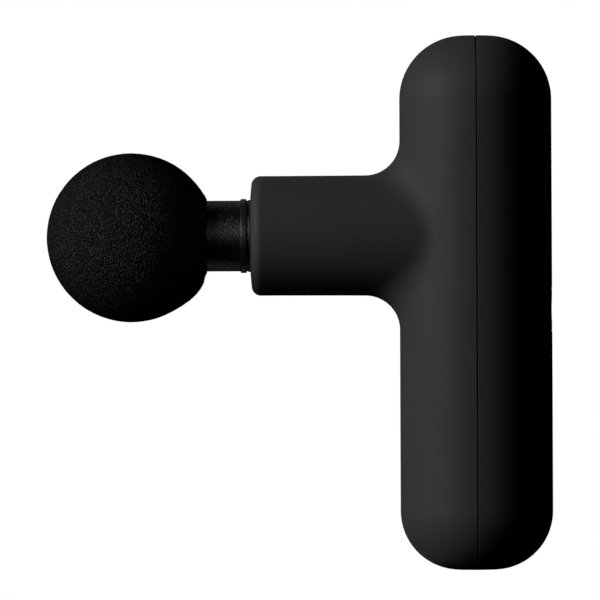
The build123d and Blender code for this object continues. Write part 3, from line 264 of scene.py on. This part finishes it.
def lens(name, rgb):
    """Milky light guide."""
    f = Finish(name, Transmission_Weight=0.25, Subsurface_Weight=0.3, Subsurface_Scale=1.0 * MM)
    f.mottle(f.grain(1.5 * MM), rgb, 0.9, 1.05)
    f.roughness(f.span(f.grain(0.6 * MM), 0.22, 0.34))
    f.relief((f.grain(0.5 * MM), 0.004 * MM))
    return f.material


def ground_metal(name, rgb, roughness=0.3):
    """Turned and ground metal: fine lines round the work, and brighter handled edges."""
    f = Finish(name, Metallic=1.0)
    lines = f.grain(0.9 * MM, 4.0, (8, 8, 0.12))
    stain = f.grain(5 * MM, 4.0)
    edge = f.edges(0.25 * MM)
    body = f.blend(f.span(stain, 0.0, 1.0), shade(rgb, 0.85), shade(rgb, 1.05))
    f.colour(f.blend(edge, body, shade(rgb, 1.35)))
    f.roughness(f.span(lines, roughness * 0.75, roughness * 1.35))
    f.relief((lines, 0.006 * MM))
    return f.material


def cast_metal(name, rgb):
    """Die-cast alloy: pebbled skin, duller in its hollows."""
    f = Finish(name, Metallic=1.0)
    skin = f.grain(0.6 * MM, 4.0)
    flow = f.grain(9 * MM, 3.0, (1, 1, 2.5))
    f.mottle(flow, rgb, 0.78, 1.0)
    f.roughness(f.span(skin, 0.42, 0.62))
    f.relief((f.cells(1.4 * MM), 0.02 * MM), (skin, 0.03 * MM))
    return f.material


def sintered_metal(name, rgb):
    """Porous oil-filled bronze."""
    f = Finish(name, Metallic=1.0)
    pores = f.span(f.cells(0.5 * MM), 0.0, 1.0, 0.08, 0.3)
    f.colour(f.blend(pores, shade(rgb, 0.35), shade(rgb)))
    f.roughness(f.span(f.grain(1.2 * MM), 0.34, 0.52))
    f.relief((pores, 0.02 * MM))
    return f.material


def plated_metal(name, rgb, roughness=0.2):
    """Bright plating over stamped strip, with handling haze."""
    f = Finish(name, Metallic=1.0)
    haze = f.grain(3.5 * MM, 4.0)
    f.mottle(haze, rgb, 0.86, 1.04)
    f.roughness(f.span(haze, roughness * 0.8, roughness * 1.6))
    f.relief((f.grain(0.8 * MM, 2.0, (1, 6, 1)), 0.004 * MM))
    return f.material


def wound_wire(name, rgb):
    """Enamelled copper wire, turn beside turn."""
    f = Finish(name, Metallic=1.0, Coat_Weight=0.6, Coat_Roughness=0.15)
    turns = f.bands(0.45 * MM, "Z", 0.4)
    # Colour darker in the grooves between turns and lighter on their crowns: painted shade and painted
    # highlight.
    f.colour(f.blend(f.span(turns, 0.0, 1.0, 0.0, 1.0), shade(rgb, 0.45), shade(rgb, 1.1)))
    f.roughness(f.span(turns, 0.45, 0.28, 0.0, 1.0))
    f.relief((turns, 0.12 * MM))
    return f.material


def shrink_wrap(name, rgb):
    """Glossy shrink film, puckered along its length."""
    f = Finish(name, Coat_Weight=0.4, Coat_Roughness=0.12)
    pucker = f.grain(3 * MM, 2.0, (1, 1, 5))
    f.mottle(f.grain(10 * MM), rgb, 0.9, 1.1)
    f.roughness(f.span(pucker, 0.22, 0.36))
    f.relief((pucker, 0.03 * MM))
    return f.material


def solder_mask(name, rgb):
    """Circuit board: copper tracks show as a lighter tone under the lacquer."""
    f = Finish(name, Coat_Weight=0.5, Coat_Roughness=0.1)
    tracks = f.span(f.bands(1.27 * MM, "Y", 1.5), 0.0, 1.0, 0.62, 0.70)
    pads = f.span(f.cells(2.6 * MM), 1.0, 0.0, 0.16, 0.20)
    copper = f.blend(tracks, shade(rgb), shade(rgb, 1.7))
    f.colour(f.blend(pads, copper, shade(rgb, 2.2)))
    f.roughness(f.span(f.grain(0.8 * MM), 0.3, 0.45))
    f.relief((tracks, 0.03 * MM), (f.grain(0.5 * MM), 0.006 * MM))
    return f.material


FINISHES = {
    "shell_black": (soft_touch, {}),
    "foam_black": (foam, {}),
    "stem_black": (moulded, {"roughness": 0.28, "texture": 0.24 * MM, "gloss": 0.5, "depth": 0.4}),
    "ring_black": (moulded, {"roughness": 0.40, "texture": 0.04 * MM, "gloss": 0.4, "depth": 0.6}),
    "seal_black": (rubber, {}),
    "button_black": (soft_touch, {}),
    "lens_white": (lens, {}),
    "inner_plastic": (moulded, {"roughness": 0.5}),
    "white_plastic": (moulded, {"roughness": 0.45, "texture": 0.01 * MM}),
    "steel": (ground_metal, {}),
    "dark_steel": (ground_metal, {"roughness": 0.45}),
    "cast_alloy": (cast_metal, {}),
    "bronze": (sintered_metal, {}),
    "copper": (wound_wire, {}),
    "nickel": (plated_metal, {}),
    "magnet": (plated_metal, {"roughness": 0.32}),
    "cell_wrap": (shrink_wrap, {}),
    "board_green": (solder_mask, {}),
    "chip_black": (moulded, {"roughness": 0.6, "texture": 0.01 * MM}),
    "lead_red": (lead, {}),
    "lead_black": (lead, {}),
}


def make_materials():
    """One material for each slot of the record, in the record's own colour."""
    made = {}
    for entry in frame["record"]["materials"]:
        name = entry["slot"]
        maker, settings = FINISHES[name]
        made[name] = maker(name + "_finish", entry["base_color"], **settings)
    return made


MATERIALS = make_materials()


def paint_nodes():
    """Gives every CAD node its slot's finish."""
    for node, obj in NODES.items():
        if not obj.material_slots:
            obj.data.materials.append(None)
        for slot in obj.material_slots:
            slot.link = "OBJECT"
            slot.material = MATERIALS[SLOT_OF[node]]


paint_nodes()


# ================================================================ foam ball
BALL_SEGMENTS = 320
BALL_RINGS = 150
CORE_RINGS = 24
WALL_RINGS = 8
LIP_RINGS = 7
SKIN_DEPTH = 0.02 * MM                        # only points within this of the sphere are skin
BALL_SETTLE = Vector((0.12, 0, -0.36)) * MM   # the foam sits a little low on its core
FULL_SIDE = Vector((0.766, 0, -0.643))        # and is fullest on this side, by the stem
FULL_HEIGHT = 0.50 * MM
FULL_WIDTH = 0.20                             # as a share of the radius
SETTLE_REACH = 1.0 * MM                       # both fade out over this much, up to the lip
LIP_ROUND = 0.35 * MM                         # rounded lip where the foam meets the stem
FOAM_SINK = 0.03 * MM
FOAM_LUMPS = ((5.0 * MM, 0.05 * MM), (1.2 * MM, 0.02 * MM), (0.6 * MM, 0.03 * MM))   # size, height


def foam_height(point):
    """How far the foam's skin stands out at a point."""
    return sum(depth * noise.noise(point / size) for size, depth in FOAM_LUMPS)


def arc(centre_x, radius, start, end, steps):
    """Profile points (x, r) on a circle about (centre_x, 0), from one angle to another off -X."""
    angles = np.linspace(start, end, steps)
    return [(centre_x - radius * cos(a), radius * sin(a)) for a in angles]


def turned_mesh(name, profile, axis_z, segments):
    """Closed skin of a profile of (x, r) points turned about a line along X, which its ends lie on."""
    verts = []
    for x, r in profile[1:-1]:
        for step in range(segments):
            turn = 2 * pi * step / segments
            verts.append((x, r * cos(turn), axis_z + r * sin(turn)))
    rings = len(profile) - 2
    first, last = len(verts), len(verts) + 1
    verts += [(profile[0][0], 0, axis_z), (profile[-1][0], 0, axis_z)]
    faces = []
    for i in range(segments):
        j = (i + 1) % segments
        faces.append((first, i, j))
        faces.append((last, (rings - 1) * segments + j, (rings - 1) * segments + i))
        for ring in range(rings - 1):
            a = ring * segments
            b = a + segments
            faces.append((a + i, b + i, b + j, a + j))
    mesh = bpy.data.meshes.new(name)
    mesh.from_pydata(verts, [], faces)
    mesh.shade_smooth()
    mesh.update()
    return mesh


def add_piece(name, mesh, slot, body, *replaced):
    """Puts a modelled piece in the scene, on its body, in its slot's finish."""
    obj = bpy.data.objects.new(name, mesh)
    bpy.context.scene.collection.objects.link(obj)
    mesh.materials.append(MATERIALS[slot])
    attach(obj, body)
    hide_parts(*replaced)
    return obj


def ball_profile(centre_x, radius, core_r, hole_r):
    """Outline of the foam round its front, in at the lip, along the hole and back round the core.

    Gives the points and the place of the lip along X.
    """
    mouth = pi - asin((hole_r + LIP_ROUND) / (radius - LIP_ROUND))
    lip_x = centre_x - (radius - LIP_ROUND) * cos(mouth)
    lip = [
        (lip_x + LIP_ROUND * cos(a), hole_r + LIP_ROUND + LIP_ROUND * sin(a))
        for a in np.linspace(pi - mouth, -pi / 2, LIP_RINGS)
    ]
    outside = arc(centre_x, radius, 0, mouth, BALL_RINGS)
    inside = arc(centre_x, core_r, pi - asin(hole_r / core_r), 0, CORE_RINGS)
    wall = [(x, hole_r) for x in np.linspace(lip[-1][0], inside[0][0], WALL_RINGS)[1:-1]]
    return outside + lip[1:] + wall + inside, lip_x


def ease(t):
    """0 up to t = 0, 1 from t = 1, and a smooth step between."""
    t = min(1.0, max(0.0, t))
    return t * t * (3 - 2 * t)


def shape_skin(mesh, centre, radius, lip_x):
    """Settles the outer skin on its core, fills it out beside the stem and gives it its grain."""
    for vert in mesh.vertices:
        out = vert.co - centre
        if out.length > radius - SKIN_DEPTH:
            way = out.normalized()
            grain = foam_height(vert.co) - FOAM_SINK
            full = FULL_HEIGHT * exp(-((way - FULL_SIDE).length / FULL_WIDTH) ** 2)
            free = ease((lip_x - vert.co.x) / SETTLE_REACH)
            vert.co += way * (grain + full * free) + BALL_SETTLE * free


def make_ball():
    """Foam ball with its grained skin, the hole for the stem and the hollow round the rigid core."""
    low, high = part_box("massage_ball")
    core_low, core_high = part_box("ball_core")
    stem_low, stem_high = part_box("head_stem")
    axis_z = (low[2] + high[2]) / 2
    radius = (high[2] - low[2]) / 2
    centre_x = low[0] + radius
    core_r = (core_high[2] - core_low[2]) / 2
    hole_r = (stem_high[2] - stem_low[2]) / 2
    profile, lip_x = ball_profile(centre_x, radius, core_r, hole_r)
    mesh = turned_mesh("foam_ball", profile, axis_z, BALL_SEGMENTS)
    shape_skin(mesh, Vector((centre_x, 0, axis_z)), radius, lip_x)
    return add_piece("foam_ball", mesh, "foam_black", "ball_head", "massage_ball")


ball = make_ball()


# ================================================================ studio
VIEW_X = -48.8 * MM
VIEW_Z = 74.9 * MM
VIEW_WIDTH = 166.3 * MM
LENS = 600.0
SENSOR = 36.0
CLIP_END = 50.0
ROLL = radians(0.24)
LIT_POINT = Vector((-30, 0, 85)) * MM
WHITE = (1.0, 1.0, 1.0)
WARM = (1.0, 1.0, 0.94)
GLINT_POINT = Vector((-67.2, -9.8, 94.0)) * MM      # on the stem, beside the ring


def add_camera():
    """Long lens, level with the gun and square to its side."""
    data = bpy.data.cameras.new("camera")
    data.lens = LENS
    data.sensor_width = SENSOR
    data.clip_end = CLIP_END
    camera = bpy.data.objects.new("camera", data)
    bpy.context.scene.collection.objects.link(camera)
    camera.location = (VIEW_X, -VIEW_WIDTH * LENS / SENSOR, VIEW_Z)
    camera.rotation_euler = (radians(90), ROLL, 0)
    bpy.context.scene.camera = camera


def add_light(name, direction, distance, size, power, only=(), glossy=True, target=LIT_POINT,
              colour=WHITE):
    """Square soft light, aimed at a point from a direction. With only, it lights just those objects."""
    data = bpy.data.lights.new(name, "AREA")
    data.size = size
    data.energy = power
    data.color = colour
    light = bpy.data.objects.new(name, data)
    bpy.context.scene.collection.objects.link(light)
    light.location = target + Vector(direction).normalized() * distance
    light.rotation_euler = (target - light.location).to_track_quat("-Z", "Y").to_euler()
    light.visible_glossy = glossy
    light.visible_camera = False
    if only:
        lit = bpy.data.collections.new(name + "_lights")
        for obj in only:
            lit.objects.link(obj)
        light.light_linking.receiver_collection = lit


def add_world():
    """White backdrop that the gun neither mirrors nor is lit by."""
    world = bpy.data.worlds.new("white")
    bpy.context.scene.world = world
    world.use_nodes = True
    world.node_tree.nodes["Background"].inputs["Color"].default_value = (1, 1, 1, 1)
    seen_by = world.cycles_visibility
    seen_by.diffuse = seen_by.glossy = seen_by.transmission = seen_by.scatter = False


add_camera()
add_world()
bpy.context.scene.view_settings.view_transform = "Standard"
GLOSSY = [NODES[name] for name in ("head_stem", "stem_ring", "piston")]
add_light("key", (-0.85, -0.44, 0.32), distance=1.2, size=0.5, power=16.5, colour=WARM)
add_light("back", (0.10, 0.99, 0.10), distance=1.2, size=0.4, power=12, glossy=False)
add_light("ball_fill", (0.55, -0.83, 0.05), distance=1.2, size=0.5, power=0.9, only=[ball], colour=WARM)
add_light("stem_glint", (0.0, -0.97, 0.25), distance=0.018, size=0.008, power=0.00040, only=GLOSSY,
          target=GLINT_POINT)
add_light("stem_top", (-0.10, 0.70, 0.70), distance=0.8, size=0.3, power=0.10, only=GLOSSY)
add_light("stem_low", (-0.10, 0.57, -0.82), distance=0.8, size=0.3, power=0.10, only=GLOSSY)
